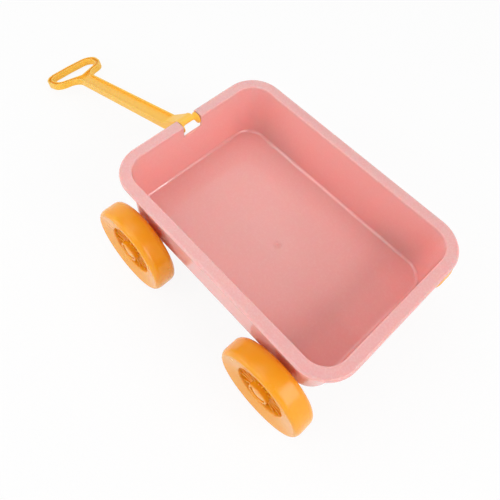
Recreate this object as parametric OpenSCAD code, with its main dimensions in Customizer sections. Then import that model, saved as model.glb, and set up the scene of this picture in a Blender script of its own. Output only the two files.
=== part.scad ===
// Small moulded pull wagon: tub, drop-down loop handle, four free-spinning wheels on two axles.
// Millimetres. +X is forward (handle end), +Y is left, +Z is up, the ground is Z = 0.

/* [Tub] */
// Rim length over its outer edge
rim_length = 340; // [325:1:380]
// Rim width over its outer edge
rim_width = 238; // [225:1:270]
// Outer corner radius of the rim in plan
rim_corner = 41; // [34:1:50]
// Width of the flat rim from outer edge to opening
rim_flange = 14.4; // [13:0.2:18]
// Height of the rim's outer edge
rim_height = 7; // [6:0.5:9]
// Inside depth from rim top to floor
tub_depth = 83; // [76:1:95]
// Height of the floor above the axles
floor_rise = 17.6; // [16:0.2:24]
// Wall and rim sheet thickness
wall = 2.6; // [2:0.1:3.5]
// Floor thickness
floor_thick = 3; // [2.5:0.1:4]
// How far each wall leans in between rim and floor
draft = 1.5; // [1:0.5:6]
// Inside fillet between walls and floor
floor_fillet = 4; // [3:0.5:10]
// Width of the notch in the front rim
notch_width = 27.8; // [26:0.2:32]
// Depth of the notch below the rim top
notch_depth = 19; // [17:0.5:24]

/* [Handle] */
// Distance from the pivot axis to the far edge of the grip
handle_reach = 344.5; // [300:0.5:380]
// Width of the channel bar
bar_width = 20.7; // [18:0.1:22]
// Depth of bar and grip
bar_depth = 9.3; // [8:0.1:12]
// Height of the pivot axis above the bar's upper face
neck_rise = 12.2; // [11.5:0.1:14]
// Lip thickness of the channels in bar and grip
bar_lip = 2.2; // [1.8:0.1:2.6]
// Thickness of the web between the upper and lower channels
bar_web = 2.4; // [2:0.1:3]
// Width of the loop grip
grip_width = 90; // [82:1:96]
// Thickness of the grip loop seen from above
grip_band = 8.4; // [7.6:0.1:10]
// Radius of the pivot stubs
stub_r = 2.5; // [2.2:0.1:3]

/* [Wheels] */
// Wheel radius
wheel_r = 59; // [56:1:64]
// Wheel width
wheel_w = 30; // [29:1:34]
// Distance between front and rear axles
wheelbase = 228; // [210:2:236]
// Gap between the tub's side wall and each wheel
wheel_gap = 4.8; // [4.2:0.2:12]
// Radius of the dish in the wheel's face
dish_r = 33; // [30:0.2:36]
// Depth of the dish
dish_depth = 17; // [15:0.5:18]
// Radius of the hub ring
hub_ring_r = 13.5; // [12.5:0.1:16]
// Number of ribs in the dish
rib_count = 16; // [8:1:20]
// Axle radius
axle_r = 4; // [3.5:0.1:4.5]

/* [Hidden] */
$fn = 72;
run = 0.08;
rim_top = wheel_r + floor_rise + tub_depth;
floor_z = rim_top - tub_depth;
belly_z = floor_z - floor_thick;
half_l = rim_length / 2;
half_w = rim_width / 2;
in_l = half_l - rim_flange;
in_w = half_w - rim_flange;
in_r = rim_corner - rim_flange;
ear_r = stub_r + 2.7;
ear_len = 10;
stub_len = 7.1;
pivot_x = half_l - rim_flange / 2;
pivot_z = rim_top - 7.6;
bar_low = neck_rise + bar_depth;
drop = asin(pivot_z / norm([handle_reach, bar_low])) - atan2(bar_low, handle_reach);
tip_x = pivot_x + handle_reach * cos(drop) - neck_rise * sin(drop);
tail_x = -max(half_l, wheelbase / 2 + wheel_r);
shift_x = -(tip_x + tail_x) / 2;
bar_start = 50;
crown_r = 28;
corner_r = 21;
fork_s = handle_reach - 50;
fork_fillet = 20;
spool_half = notch_width / 2 - 1.2;
disc_r = 7.4;
disc_w = 1.2;
waist_r = 3.2;
waist = [3.1, 1.3];
face_y = in_w + wall + wheel_gap + wheel_w;
saddle_w = 26;
saddle_y1 = in_w - 1.6;
saddle_y = saddle_y1 - saddle_w / 2;
screw_x = 9.8;
hub_seat = 14.5;
hub_front = 0.8;
hub_bore = hub_ring_r - 2.6;
axle_half = face_y - 4.6;
cap_r = hub_bore - 0.7;
back_r = wheel_r - 12;
skin = 2.6;

// Rounded rectangle from half extents and corner radius
module plan(a, b, r) {
    square([2 * (a - r), 2 * b], center = true);
    square([2 * a, 2 * (b - r)], center = true);
    for (sx = [-1, 1], sy = [-1, 1])
        translate([sx * (a - r), sy * (b - r)]) circle(r, $fn = 56);
}

// Thin plan slice used as a station of a hull
module station(z, a, b, r) {
    translate([0, 0, z]) linear_extrude(0.02) plan(a, b, r);
}

// Slice of the tub's opening, grown outward by g
module opening_slice(z, g) {
    station(z, in_l + g, in_w + g, in_r + g);
}

// Tapering box with a rounded bottom edge, grown outward by g
module draft_box(z0, z1, g, f) {
    hull() {
        opening_slice(z1, g);
        for (k = [0 : 22.5 : 90])
            let (i = f * (1 - sin(k)) + draft - g)
                station(z0 + f * (1 - cos(k)), in_l - i, in_w - i, in_r + g - f * (1 - sin(k)));
    }
}

// Soft inner edge of the rim, cut in two slopes
module rim_ease() {
    for (p = [[-1.5, 0, -0.5, 0.4], [-0.5, 0.4, 0, 1.4]])
        hull() {
            opening_slice(rim_top + p[0], p[1]);
            opening_slice(rim_top + p[2], p[3]);
        }
}

// Rim block with a full round outer edge
module rim_block() {
    h = rim_height;
    hull() {
        for (p = [[0, 2], [0.14, 0.8], [0.35, 0.15], [0.55, 0], [0.75, 0.35], [0.9, 1.2], [0.997, 2.6]])
            station(rim_top - h + p[0] * h, half_l - p[1], half_w - p[1], rim_corner - p[1]);
    }
}

// Channel under the rim between its outer skirt and the wall
module rim_channel() {
    skirt = wall + 0.6;
    translate([0, 0, rim_top - rim_height - 1]) linear_extrude(rim_height - wall + 1) difference() {
        plan(half_l - skirt, half_w - skirt, rim_corner - wall);
        plan(in_l + wall, in_w + wall, in_r + wall);
    }
}

// Solid ear under one cut end of the rim that carries a pivot stub
module pivot_ear(side) {
    y = side * (notch_width + ear_len) / 2;
    back_x = in_l + wall - 0.5;
    translate([pivot_x, y, pivot_z]) rotate([90, 0, 0]) cylinder(r = ear_r, h = ear_len, center = true);
    translate([back_x, y - ear_len / 2, pivot_z - ear_r])
        cube([pivot_x - back_x, ear_len, rim_top - wall + 0.8 - pivot_z + ear_r]);
}

// Half bearing block under the floor for one side of an axle, with a gusset towards the middle
module saddle(x, side) {
    gusset = 24;
    translate([x - 15, side * saddle_y - saddle_w / 2, wheel_r]) cube([30, saddle_w, belly_z - wheel_r + 1.5]);
    translate([x - 3, side * (saddle_y - saddle_w / 2 - gusset / 2 + 1) - gusset / 2, wheel_r + 5])
        cube([6, gusset, belly_z - wheel_r - 3]);
}

// Moulded tub with drafted walls, rolled rim, front notch and axle saddles
module tub() {
    gate_mark = [-6, 4];
    color("#eeb0ac") translate([shift_x, 0, 0]) difference() {
        union() {
            draft_box(belly_z, rim_top - 1, wall, floor_fillet + 2);
            difference() {
                rim_block();
                rim_channel();
            }
            for (side = [-1, 1]) {
                pivot_ear(side);
                saddle(wheelbase / 2, side);
                saddle(-wheelbase / 2, side);
            }
        }
        draft_box(floor_z, rim_top + 1, 0, floor_fillet);
        rim_ease();
        translate([in_l - 1.4, -notch_width / 2, rim_top - notch_depth])
            cube([rim_flange + 10, notch_width, notch_depth + 5]);
        translate([pivot_x, 0, pivot_z]) rotate([90, 0, 0])
            cylinder(r = stub_r + run, h = notch_width + 2 * stub_len + 1.2, center = true);
        translate([gate_mark[0], gate_mark[1], floor_z - 0.4]) cylinder(r = 2, h = 1, $fn = 24);
        for (x = [-wheelbase / 2, wheelbase / 2]) {
            translate([x, 0, wheel_r]) rotate([90, 0, 0]) cylinder(r = axle_r + 0.05, h = 2 * face_y, center = true);
            for (k = [-1, 1], side = [-1, 1])
                translate([x + k * screw_x, side * saddle_y, wheel_r - 1]) cylinder(r = 1.65, h = 8, $fn = 24);
        }
    }
}

// Circles round which the loop grip is drawn, shrunk by an inset
module grip_circles(inset) {
    translate([handle_reach - crown_r, 0]) circle(crown_r - inset);
    for (sy = [-1, 1]) {
        translate([handle_reach - corner_r - 1, sy * (grip_width / 2 - corner_r)]) circle(corner_r - inset);
        translate([handle_reach - corner_r - 10, sy * (grip_width / 2 - corner_r - 1)]) circle(corner_r - inset);
    }
}

// Finger opening of the grip, drawn out towards the fork
module grip_opening() {
    hull() {
        grip_circles(grip_band);
        translate([fork_s, 0]) circle(4, $fn = 32);
    }
}

// Outer outline of bar and grip, with the fork rounded where they meet
module handle_outline() {
    offset(r = -fork_fillet, $fn = 96) offset(r = fork_fillet, $fn = 96) {
        translate([bar_start, -bar_width / 2]) square([fork_s - bar_start, bar_width]);
        hull() grip_circles(0);
    }
}

// Channel along the bar that parts at the fork and runs round the grip
module channel() {
    difference() {
        offset(delta = -bar_lip) handle_outline();
        offset(r = bar_lip, $fn = 32) grip_opening();
    }
}

// Side profile of the neck that rises from the bar to the spool
module neck_profile() {
    neck_end = bar_start + bar_lip / 2;
    root = [waist[0] + 0.4, waist_r - 0.6];
    polygon([[root[0], waist[1] + root[1]], [10, waist[1] + waist_r - 0.3], [15, 2.9], [20, 0.1],
        [neck_end, -neck_rise - 0.5], [neck_end, 0.15 - bar_low], [41, 1 - bar_low],
        [29, 6.4 - bar_low], [17, 13.6 - bar_low], [9, waist[1] - waist_r - 1.6], [root[0], waist[1] - root[1]]]);
}

// Half section of one end of the cross spool: trumpet, disc and pivot stub
module trumpet_section() {
    steps = 8;
    start = spool_half - 6.7;
    inner = spool_half - disc_w;
    tip = 0.5;
    stub_end = notch_width / 2 + stub_len;
    polygon(concat(
        [[0, start]],
        [for (i = [0 : steps])
            [tip + (disc_r - tip) * pow(i / steps, 2.5), start + (inner - start) * i / steps]],
        [[disc_r, spool_half], [stub_r, spool_half], [stub_r, stub_end], [0, stub_end]]));
}

// Pull handle with channelled bar and loop grip, raised neck and cross spool between two pivot discs
module handle() {
    groove = (bar_depth - bar_web) / 2;
    color("#fbbe58") translate([pivot_x + shift_x, 0, pivot_z]) rotate([0, drop, 0]) {
        translate([0, 0, -bar_low]) difference() {
            linear_extrude(bar_depth) difference() {
                handle_outline();
                grip_opening();
            }
            for (z = [-1, bar_depth - groove])
                translate([0, 0, z]) linear_extrude(groove + 1) channel();
        }
        rotate([90, 0, 0]) {
            linear_extrude(bar_width, center = true) neck_profile();
            translate([waist[0], waist[1], 0]) cylinder(r = waist_r, h = 2 * spool_half - disc_w, center = true);
            for (k = [0, 1])
                rotate([180 * k, 0, 0]) rotate_extrude() trumpet_section();
        }
    }
}

// Axle rod across the tub
module axle(x) {
    color("#b9bcc0") translate([x + shift_x, 0, wheel_r]) rotate([90, 0, 0]) {
        cylinder(r = axle_r, h = 2 * axle_half - 2, center = true);
        for (k = [0, 1])
            rotate([180 * k, 0, 0]) translate([0, 0, axle_half - 1]) cylinder(r1 = axle_r, r2 = axle_r - 0.8, h = 1);
    }
}
module axle_front() { axle(wheelbase / 2); }
module axle_rear() { axle(-wheelbase / 2); }

// Clamp plate that closes one saddle from below
module keeper(x, side) {
    color("#e29c98") translate([x + shift_x, side * saddle_y, wheel_r]) difference() {
        union() {
            translate([-15, 1 - saddle_w / 2, -6]) cube([30, saddle_w - 2, 5.85]);
            translate([-6.2, 1 - saddle_w / 2, -9.5]) cube([12.4, saddle_w - 2, 6]);
        }
        rotate([90, 0, 0]) cylinder(r = axle_r + 0.05, h = 2 * saddle_w, center = true);
        for (k = [-1, 1])
            translate([k * screw_x, 0, -20]) cylinder(r = 1.9, h = 40, $fn = 24);
    }
}
module keeper_front_left() { keeper(wheelbase / 2, 1); }
module keeper_front_right() { keeper(wheelbase / 2, -1); }
module keeper_rear_left() { keeper(-wheelbase / 2, 1); }
module keeper_rear_right() { keeper(-wheelbase / 2, -1); }

// The eight pan-head screws of the keepers
module keeper_screws() {
    color("#c4c6c9")
    for (x = [-wheelbase / 2, wheelbase / 2], side = [-1, 1], k = [-1, 1])
        translate([x + shift_x + k * screw_x, side * saddle_y, wheel_r - 6.05]) difference() {
            union() {
                cylinder(r = 1.6, h = 12.5, $fn = 24);
                translate([0, 0, -1.2]) cylinder(r = 3.2, h = 1.2, $fn = 32);
                translate([0, 0, -2]) cylinder(r1 = 2, r2 = 3.2, h = 0.8, $fn = 32);
            }
            translate([-1.6, -0.35, -3]) cube([3.2, 0.7, 1.9]);
            translate([-0.35, -1.6, -3]) cube([0.7, 3.2, 1.9]);
        }
}

// Points of an elliptical arc about c with half axes r
function arc(c, r, a0, a1, n) =
    [for (i = [0 : n]) let (a = a0 + (a1 - a0) * i / n) [c[0] + r[0] * cos(a), c[1] + r[1] * sin(a)]];

// Puts a part drawn about Z, outward up, at one wheel position
module at_wheel(x, side) {
    translate([x + shift_x, side * face_y, wheel_r]) rotate([-90 * side, 0, 0]) children();
}

// Half section of a wheel shell: tread, flat cone of the face, soft lip, dish and hub ring
module wheel_section() {
    w = wheel_w;
    d = dish_depth + skin;
    shoulder = [5, 8];
    inner_shoulder = 8;
    lip_round = 1.6;
    slope = 11.5;
    crest = wheel_r - shoulder[0];
    lip_r = dish_r + lip_round;
    lip = [lip_r, -(crest - lip_r) * tan(slope) - lip_round / cos(slope)];
    hollow_r = dish_r + 3.4;
    polygon(concat(
        [[back_r + 0.2, -w]],
        arc([wheel_r - inner_shoulder, inner_shoulder - w], [inner_shoulder, inner_shoulder], -90, 0, 8),
        arc([crest, -shoulder[1]], shoulder, 0, 90, 10),
        arc(lip, [lip_round, lip_round], 90 + slope, 180, 5),
        [[dish_r - 1.6, 3 - d], [dish_r - 2.4, 1 - d], [dish_r - 4.4, -d],
            [hub_ring_r + 1.5, -d], [hub_ring_r + 0.7, 1.2 - d],
            [hub_ring_r, -hub_front - 1.1], [hub_ring_r - 0.4, -hub_front - 0.3], [hub_ring_r - 1, -hub_front],
            [hub_bore + 0.6, -hub_front], [hub_bore, -hub_front - 0.7], [hub_bore - 0.1, -hub_seat],
            [axle_r + run, -hub_seat], [axle_r + run, 3 - w], [9, 3 - w], [9, -d - skin],
            [dish_r - 2.6, -d - skin], [dish_r + 0.2, -d], [dish_r + 1.1, 2 - d], [dish_r + 2.5, lip[1] - 2.2],
            [hollow_r, -(crest - hollow_r) * tan(slope) - skin]],
        arc([crest, -shoulder[1]], [shoulder[0] - skin, shoulder[1] - skin], 90, 0, 6),
        arc([wheel_r - inner_shoulder, inner_shoulder - w], [inner_shoulder - skin, inner_shoulder - skin - 0.2],
            0, -90, 6),
        [[back_r + 0.2, skin + 0.2 - w]]));
}

// Thin-walled wheel with the ribs of its dish
module wheel(x, side) {
    rib = 1.6;
    rib_top = 7;
    floor_y = -dish_depth - skin;
    color("#f9aa44") at_wheel(x, side) {
        rotate_extrude($fn = 120) wheel_section();
        for (i = [1 : rib_count])
            rotate([0, 0, 360 * i / rib_count]) translate([hub_ring_r - 0.4, -rib / 2, floor_y - 0.5])
                cube([dish_r - hub_ring_r + 0.6, rib, -rib_top - floor_y + 0.5]);
    }
}
module wheel_front_left() { wheel(wheelbase / 2, 1); }
module wheel_front_right() { wheel(wheelbase / 2, -1); }
module wheel_rear_left() { wheel(-wheelbase / 2, 1); }
module wheel_rear_right() { wheel(-wheelbase / 2, -1); }

// Disc that closes the hollow back of a wheel, with a boss that runs against the saddle
module back(x, side) {
    w = wheel_w;
    in_face = face_y - saddle_y1 - 0.4;
    color("#f4a640") at_wheel(x, side) {
        rotate_extrude($fn = 96) polygon([[axle_r + run, 2.7 - w], [back_r - 2.8, 2.7 - w], [back_r - 2.8, 7 - w],
            [back_r - 0.8, 7 - w], [back_r, 6 - w], [back_r, -w], [back_r - 0.6, -w - 0.4], [14, -w - 0.4],
            [10.5, -w - 2.4], [9, -in_face + 0.8], [8.2, -in_face], [axle_r + run, -in_face]]);
        for (a = [0 : 60 : 300])
            rotate([0, 0, a]) translate([9.5, -1.1, -w - 1.6]) cube([back_r - 13, 2.2, 1.6]);
    }
}
module back_front_left() { back(wheelbase / 2, 1); }
module back_front_right() { back(wheelbase / 2, -1); }
module back_rear_left() { back(-wheelbase / 2, 1); }
module back_rear_right() { back(-wheelbase / 2, -1); }

// Push-on domed cap that keeps a wheel on its axle
module cap(x, side) {
    seat = 0.3 - hub_seat;
    inside = axle_half - face_y + 0.3;
    sleeve = 7;
    rise = 1.6;
    dome_r = (cap_r * cap_r + rise * rise) / (2 * rise);
    color("#ea9c38") at_wheel(x, side)
        rotate_extrude($fn = 64) polygon(concat(
            [[0, inside], [axle_r + 0.03, inside], [axle_r + 0.03, seat], [sleeve, seat], [sleeve, -6.4],
                [cap_r - 0.4, -5.2], [cap_r, -4.6]],
            arc([0, -hub_front - dome_r], [dome_r, dome_r], 90 - asin(cap_r / dome_r), 90, 6)));
}
module cap_front_left() { cap(wheelbase / 2, 1); }
module cap_front_right() { cap(wheelbase / 2, -1); }
module cap_rear_left() { cap(-wheelbase / 2, 1); }
module cap_rear_right() { cap(-wheelbase / 2, -1); }

tub();
handle();
axle_front();
axle_rear();
keeper_front_left();
keeper_front_right();
keeper_rear_left();
keeper_rear_right();
keeper_screws();
wheel_front_left();
wheel_front_right();
wheel_rear_left();
wheel_rear_right();
back_front_left();
back_front_right();
back_rear_left();
back_rear_right();
cap_front_left();
cap_front_right();
cap_rear_left();
cap_rear_right();
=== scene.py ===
"""Looks of a small moulded pull wagon: plastics, steel, studio light and camera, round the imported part."""
import math

import bpy
from mathutils import Matrix, Vector


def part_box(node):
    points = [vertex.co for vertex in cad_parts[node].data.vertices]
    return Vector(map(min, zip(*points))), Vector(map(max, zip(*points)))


# Camera: place in metres from the centre of the rim's top, the way its back points and its roll in degrees,
# optics in image pixels, sensor in millimetres
CAMERA_FROM_RIM = Vector((-0.1656, 0.2714, 0.4980))
CAMERA_AZIMUTH = 132.36
CAMERA_ELEVATION = 58.26
CAMERA_ROLL = 5.77
IMAGE_SIZE = 500
FOCAL_PIXELS = 534.8
OPTICAL_CENTRE = (230, 203)
SENSOR = 36

# Tub: depth, fillet round the floor, height that still counts as floor, and how far below the rim's top its
# grain and painted sheen start and are full, in metres
TUB_DEPTH = 0.083
FLOOR_FILLET = 0.004
FLOOR_SLACK = 0.00002
RIM_GRAIN_AND_SHEEN_START = 0.006
RIM_GRAIN_AND_SHEEN_FULL = 0.001

# Gate scar on the tub's floor, in metres: middle from the centre of the rim's top, radii between which it
# fades out, and relief
GATE_FROM_RIM = Vector((-0.0055, 0.003, -TUB_DEPTH))
SCAR_FADE = (0.003, 0.006)
SCAR_RELIEF = 0.0014

# Colours as written, sRGB
PINK = "#f1b2ad"
PINK_FLECK = "#f7ccc7"
# The rim's two colours hold a painted sheen: greyer and paler than the tub's own pink
RIM_WITH_PAINTED_SHEEN = "#e8b0ad"
RIM_FLECK_AND_PAINTED_SHEEN = "#f3d3d1"
YELLOW = "#fec545"
YELLOW_FLECK = "#fed06c"
ORANGE = "#fca714"
ORANGE_FLECK = "#fdb23c"
STEEL = "#b9bcc0"
STEEL_STREAK = "#d9dadc"
FLOOR = "#efefef"
FLOOR_GRAIN = "#f6f6f6"

# Scales of the noise, in cells per metre
FLECK_NOISE = 450
RIM_FLECK_NOISE = 500
SHEEN_NOISE = 60
GRAIN_NOISE = 350
SCAR_NOISE = 420
STREAK_NOISE = 900
FLOOR_NOISE = 400

# Stretches of the noise's range that an effect is spread over
FLECK_SPAN = (0.45, 0.75)
RIM_FLECK_SPAN = (0.4, 0.7)
MIDDLE_SPAN = (0.3, 0.7)

# Plastic: refraction, also of the gloss on the tub's fillet, strength of the rim's pale flecks that add to
# its painted sheen, strength of the grain and its relief in metres, and rays that find an edge to soften
PLASTIC_IOR = 1.49
FILLET_IOR = 1.65
RIM_SPECKLE = 0.28
GRAIN_STRENGTH = 0.04
GRAIN_RELIEF = 0.0004
EDGE_SAMPLES = 8

# Facets of the fillet: least upward part of their normals, and least level part that is divided by
LEAST_UP = 0.1
LEAST_LEVEL = 0.01

# Steel: roughness, and the noise drawn out along the axles
STEEL_ROUGH = (0.22, 0.36)
ALONG_AXLES = (1, 0.03, 1)

# Studio floor: half its width in metres, and how far it is lifted to plain white where it is seen, so that
# a faint shadow stays
FLOOR_HALF = 6
FLOOR_WHITE = 0.9

# Surround: the heights on a unit sphere between which it dims, and its strength at both
SURROUND_HEIGHTS = (0.25, 0.7)
SURROUND_STRENGTHS = (1, 0.42)

# Lamps, aimed at a height in metres: name, azimuth and elevation in degrees, distance, width and height in
# metres, and power in watts
AIM_HEIGHT = 0.1
LAMPS = (
    ("key", 184, 39, 1.7, 1.0, 1.0, 9.1),
    ("fill", 45, 14, 1.7, 0.8, 0.8, 2.8),
    ("front", 330, 58, 1.7, 1.0, 1.0, 2.1),
    ("top", 45, 65, 0.95, 0.7, 0.7, 1.6),
    ("rear_strip", 209, 45, 1.7, 0.4, 0.18, 1.6),
    ("left_strip", 72, 40, 1.7, 0.75, 0.15, 2.6),
)


def linear(hex_colour):
    """Scene-linear RGBA of an sRGB hex colour."""
    channels = [int(hex_colour[i:i + 2], 16) / 255 for i in (1, 3, 5)]
    return [c / 12.92 if c <= 0.04045 else ((c + 0.055) / 1.055) ** 2.4 for c in channels] + [1]


def direction(azimuth, elevation):
    """Unit vector at an azimuth from +X towards +Y and an elevation, both in degrees."""
    turn = math.radians(azimuth)
    rise = math.radians(elevation)
    return Vector((math.cos(rise) * math.cos(turn), math.cos(rise) * math.sin(turn), math.sin(rise)))


def new_material(name):
    """Node material, its tree and its Principled shader."""
    material = bpy.data.materials.new(name)
    material.use_nodes = True
    return material, material.node_tree, material.node_tree.nodes["Principled BSDF"]


def feed(tree, socket, value):
    """Links a socket to another one, or sets its constant."""
    if isinstance(value, bpy.types.NodeSocket):
        tree.links.new(value, socket)
    else:
        socket.default_value = value


def feed_all(tree, node, values):
    """Feeds a node's inputs by name."""
    for name, value in values.items():
        feed(tree, node.inputs[name], value)


def add(tree, kind, **values):
    """One node with its named inputs fed."""
    node = tree.nodes.new(kind)
    feed_all(tree, node, values)
    return node


def operate(tree, kind, operation, *values):
    """One maths node of a kind, with its inputs fed in order."""
    node = tree.nodes.new(kind)
    node.operation = operation
    for socket, value in zip(node.inputs, values):
        feed(tree, socket, value)
    return node


def calculate(tree, operation, *values):
    """Number worked out from other numbers."""
    return operate(tree, "ShaderNodeMath", operation, *values).outputs["Value"]


def spread(tree, value, span, target):
    """Maps a value from one span to another."""
    node = tree.nodes.new("ShaderNodeMapRange")
    for socket, entry in zip(node.inputs, (value, *span, *target)):
        feed(tree, socket, entry)
    return node.outputs["Result"]


def blend(tree, kind, factor, first, second):
    """Colour or vector between two, by a factor."""
    node = tree.nodes.new("ShaderNodeMix")
    node.data_type = kind
    feed_all(tree, node, {"Factor": factor, "A": first, "B": second})
    return node.outputs["Result"]


def place(tree, kind):
    """Place in the named coordinates."""
    return tree.nodes.new("ShaderNodeTexCoord").outputs[kind]


def axes(tree, vector):
    """X, Y and Z of a vector."""
    return add(tree, "ShaderNodeSeparateXYZ", Vector=vector).outputs


def noise(tree, scale, detail, stretch=(1, 1, 1)):
    """Noise in object coordinates, so it stays with the piece."""
    drawn = operate(tree, "ShaderNodeVectorMath", "MULTIPLY", place(tree, "Object"), stretch)
    texture = add(tree, "ShaderNodeTexNoise", Vector=drawn.outputs["Vector"], Scale=scale, Detail=detail)
    return texture.outputs["Fac"]


def plastic(name, base, fleck, speckle, rough, glow, reach, edge):
    """Moulded plastic with fine faint flecks, softened edges, a slight grain and a satin sheen.

    The share glow of the light sinks in, as far as reach in metres for red, green and blue. Edges are
    softened to a radius in metres, or not at all where edge is 0.
    """
    material, tree, shader = new_material(name)
    flecks = spread(tree, noise(tree, FLECK_NOISE, 3), FLECK_SPAN, (0, speckle))
    bump = add(tree, "ShaderNodeBump", Strength=GRAIN_STRENGTH, Distance=GRAIN_RELIEF,
               Height=noise(tree, GRAIN_NOISE, 2))
    if edge:
        soft = add(tree, "ShaderNodeBevel", Radius=edge)
        soft.samples = EDGE_SAMPLES
        tree.links.new(soft.outputs["Normal"], bump.inputs["Normal"])
    feed_all(tree, shader, {
        "Base Color": blend(tree, "RGBA", flecks, linear(base), linear(fleck)),
        "Roughness": spread(tree, noise(tree, SHEEN_NOISE, 3), MIDDLE_SPAN, rough),
        "Normal": bump.outputs["Normal"],
        "IOR": PLASTIC_IOR,
        "Subsurface Weight": glow,
        "Subsurface Radius": reach,
        "Subsurface Scale": 1,
    })
    return material


def rim_grain_and_painted_sheen(material, top):
    """Coarser grain and a painted sheen, greyer and paler, on the rim's upper face, whose height is given in
    metres.
    """
    tree = material.node_tree
    colour = tree.nodes["Principled BSDF"].inputs["Base Color"]
    flecks = spread(tree, noise(tree, RIM_FLECK_NOISE, 2), RIM_FLECK_SPAN, (0, RIM_SPECKLE))
    # Painted sheen: the rim's top is painted greyer and paler than the rest of the same moulding
    pale_flecks_and_sheen = blend(tree, "RGBA", flecks, linear(RIM_WITH_PAINTED_SHEEN), linear(RIM_FLECK_AND_PAINTED_SHEEN))
    height = axes(tree, place(tree, "Object"))["Z"]
    on_rim = spread(tree, height, (top - RIM_GRAIN_AND_SHEEN_START, top - RIM_GRAIN_AND_SHEEN_FULL), (0, 1))
    tree.links.new(blend(tree, "RGBA", on_rim, colour.links[0].from_socket, pale_flecks_and_sheen), colour)


def level_part(tree, up):
    """Length of a unit vector's level part, from its upward part."""
    return calculate(tree, "SQRT", calculate(tree, "SUBTRACT", 1, calculate(tree, "MULTIPLY", up, up)))


def round_fillet(material, floor, radius):
    """Truly round, glossier shading on the fillet between the tub's floor and its walls."""
    tree = material.node_tree
    shader = tree.nodes["Principled BSDF"]
    bump = shader.inputs["Normal"].links[0].from_node
    facet = axes(tree, tree.nodes.new("ShaderNodeNewGeometry").outputs["True Normal"])
    height = axes(tree, place(tree, "Object"))["Z"]

    # The round normal leans by the height on the fillet and turns with the facet
    up = spread(tree, height, (floor, floor + radius), (1, 0))
    facet_level = calculate(tree, "MAXIMUM", level_part(tree, facet["Z"]), LEAST_LEVEL)
    stretch = calculate(tree, "DIVIDE", level_part(tree, up), facet_level)
    round_normal = add(tree, "ShaderNodeCombineXYZ", X=calculate(tree, "MULTIPLY", facet["X"], stretch),
                       Y=calculate(tree, "MULTIPLY", facet["Y"], stretch), Z=up)

    # The fillet is above the floor, no higher than its radius, and faces up, as the walls don't
    above = calculate(tree, "GREATER_THAN", height, floor + FLOOR_SLACK)
    below = calculate(tree, "LESS_THAN", height, floor + radius)
    upward = calculate(tree, "GREATER_THAN", facet["Z"], LEAST_UP)
    on_fillet = calculate(tree, "MULTIPLY", calculate(tree, "MULTIPLY", above, below), upward)

    normal = blend(tree, "VECTOR", on_fillet, bump.inputs["Normal"].links[0].from_socket,
                   round_normal.outputs["Vector"])
    tree.links.new(normal, bump.inputs["Normal"])
    feed_all(tree, shader, {"Coat Weight": on_fillet, "Coat IOR": FILLET_IOR, "Coat Normal": normal})


def gate_scar(material, centre):
    """Small rough scar where the plastic entered the mould."""
    tree = material.node_tree
    normal = tree.nodes["Principled BSDF"].inputs["Normal"]
    away = operate(tree, "ShaderNodeVectorMath", "DISTANCE", place(tree, "Object"), centre)
    patch = spread(tree, away.outputs["Value"], SCAR_FADE, (1, 0))
    rough = calculate(tree, "MULTIPLY", patch, noise(tree, SCAR_NOISE, 1))
    bump = add(tree, "ShaderNodeBump", Strength=1, Distance=SCAR_RELIEF, Height=rough,
               Normal=normal.links[0].from_socket)
    tree.links.new(bump.outputs["Normal"], normal)


def steel(name):
    """Drawn steel with fine streaks along the axles."""
    material, tree, shader = new_material(name)
    streaks = noise(tree, STREAK_NOISE, 3, stretch=ALONG_AXLES)
    feed_all(tree, shader, {
        "Base Color": blend(tree, "RGBA", streaks, linear(STEEL), linear(STEEL_STREAK)),
        "Roughness": spread(tree, streaks, MIDDLE_SPAN, STEEL_ROUGH),
        "Metallic": 1,
    })
    return material


def dress(nodes, rim_centre):
    """Gives every node its material, by its whole name or its first word."""
    pink = plastic("pink_plastic", PINK, PINK_FLECK, speckle=0.25, rough=(0.08, 0.14), glow=0.8,
                   reach=(0.010, 0.003, 0.002), edge=0.0008)
    rim_grain_and_painted_sheen(pink, rim_centre.z)
    round_fillet(pink, rim_centre.z - TUB_DEPTH, FLOOR_FILLET)
    gate_scar(pink, rim_centre + GATE_FROM_RIM)
    yellow = plastic("yellow_plastic", YELLOW, YELLOW_FLECK, speckle=0.05, rough=(0.38, 0.46), glow=0.2,
                     reach=(0.003, 0.0018, 0.0006), edge=0)
    orange = plastic("orange_plastic", ORANGE, ORANGE_FLECK, speckle=0.05, rough=(0.2, 0.28), glow=0.5,
                     reach=(0.0025, 0.0012, 0.0005), edge=0.002)
    metal = steel("steel")
    looks = {"tub": pink, "keeper": pink, "keeper_screws": metal, "axle": metal, "handle": yellow,
             "wheel": orange, "back": orange, "cap": orange}
    for name, piece in nodes.items():
        piece.data.materials.clear()
        piece.data.materials.append(looks.get(name, looks[name.split("_")[0]]))


def softbox(name, spot, aim, width, height, power):
    """Soft light aimed at a point, with its width level."""
    lamp = bpy.data.lights.new(name, "AREA")
    lamp.shape = "RECTANGLE"
    lamp.size = width
    lamp.size_y = height
    lamp.energy = power
    light = bpy.data.objects.new(name, lamp)
    light.location = spot
    light.rotation_mode = "QUATERNION"
    light.rotation_quaternion = (aim - spot).to_track_quat("-Z", "Y")
    bpy.context.scene.collection.objects.link(light)


def studio_surround():
    """Surround that is white round the horizon and dims towards the top."""
    world = bpy.data.worlds.new("studio")
    world.use_nodes = True
    tree = world.node_tree
    height = axes(tree, place(tree, "Generated"))["Z"]
    strength = spread(tree, height, SURROUND_HEIGHTS, SURROUND_STRENGTHS)
    strength.node.interpolation_type = "SMOOTHSTEP"
    feed_all(tree, tree.nodes["Background"], {"Color": (1, 1, 1, 1), "Strength": strength})
    bpy.context.scene.world = world


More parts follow.
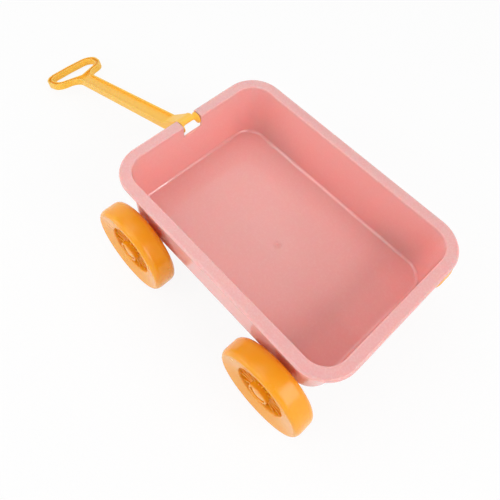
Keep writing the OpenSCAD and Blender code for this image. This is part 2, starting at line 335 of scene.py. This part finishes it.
def studio_light(rim_centre):
    """Soft key behind the wagon, three fills ahead of it, and two strips that glint on its edges."""
    aim = Vector((rim_centre.x, 0, AIM_HEIGHT))
    for name, azimuth, elevation, distance, width, height, power in LAMPS:
        spot = aim + distance * direction(azimuth, elevation)
        softbox(name, spot, aim, width, height, power)


def seen_ray(tree):
    """One for rays from the camera or off gloss and glass, which show the floor as white."""
    ray = tree.nodes.new("ShaderNodeLightPath").outputs
    seen = calculate(tree, "MAXIMUM", ray["Is Camera Ray"], ray["Is Glossy Ray"])
    return calculate(tree, "MAXIMUM", seen, ray["Is Transmission Ray"])


def floor_paper():
    """Matt pale paper that is seen nearly as plain white."""
    material, tree, shader = new_material("floor_paper")
    grain = spread(tree, noise(tree, FLOOR_NOISE, 3), MIDDLE_SPAN, (0, 1))
    feed_all(tree, shader, {
        "Base Color": blend(tree, "RGBA", grain, linear(FLOOR), linear(FLOOR_GRAIN)),
        "Roughness": 0.9,
        "Specular IOR Level": 0.1,
    })
    white = add(tree, "ShaderNodeEmission", Strength=1)
    paper = add(tree, "ShaderNodeMixShader", Fac=spread(tree, seen_ray(tree), (0, 1), (0, FLOOR_WHITE)))
    tree.links.new(shader.outputs["BSDF"], paper.inputs[1])
    tree.links.new(white.outputs["Emission"], paper.inputs[2])
    tree.links.new(paper.outputs["Shader"], tree.nodes["Material Output"].inputs["Surface"])
    return material


def pale_floor():
    """Wide studio floor under the wheels."""
    corners = [(x * FLOOR_HALF, y * FLOOR_HALF, 0) for x, y in ((-1, -1), (1, -1), (1, 1), (-1, 1))]
    mesh = bpy.data.meshes.new("floor")
    mesh.from_pydata(corners, [], [(0, 1, 2, 3)])
    mesh.materials.append(floor_paper())
    floor = bpy.data.objects.new("floor", mesh)
    bpy.context.scene.collection.objects.link(floor)


def photo_camera(rim_centre):
    """Camera of the photograph, with its off-centre optical axis as a shift."""
    back = direction(CAMERA_AZIMUTH, CAMERA_ELEVATION)
    right = Vector((0, 0, 1)).cross(back).normalized()
    up = back.cross(right)
    roll = Matrix.Rotation(math.radians(CAMERA_ROLL), 3, "Z")
    lens = bpy.data.cameras.new("camera")
    lens.sensor_width = SENSOR
    lens.lens = FOCAL_PIXELS / IMAGE_SIZE * SENSOR
    lens.shift_x = 0.5 - OPTICAL_CENTRE[0] / IMAGE_SIZE
    lens.shift_y = OPTICAL_CENTRE[1] / IMAGE_SIZE - 0.5
    camera = bpy.data.objects.new("camera", lens)
    camera.rotation_mode = "QUATERNION"
    camera.rotation_quaternion = (Matrix((right, up, back)).transposed() @ roll).to_quaternion()
    camera.location = rim_centre + CAMERA_FROM_RIM
    bpy.context.scene.collection.objects.link(camera)
    bpy.context.scene.camera = camera


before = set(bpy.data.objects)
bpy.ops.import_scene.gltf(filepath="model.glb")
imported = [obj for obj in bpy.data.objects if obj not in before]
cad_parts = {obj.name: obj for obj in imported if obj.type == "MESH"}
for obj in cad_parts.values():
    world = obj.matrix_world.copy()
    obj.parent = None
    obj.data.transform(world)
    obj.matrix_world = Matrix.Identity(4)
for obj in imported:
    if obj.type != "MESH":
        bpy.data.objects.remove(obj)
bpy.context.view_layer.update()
tub_low, tub_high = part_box("tub")
rim_centre = Vector(((tub_low.x + tub_high.x) / 2, 0, tub_high.z))

photo_camera(rim_centre)
bpy.context.scene.view_settings.view_transform = "Standard"
pale_floor()
studio_surround()
studio_light(rim_centre)
dress(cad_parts, rim_centre)
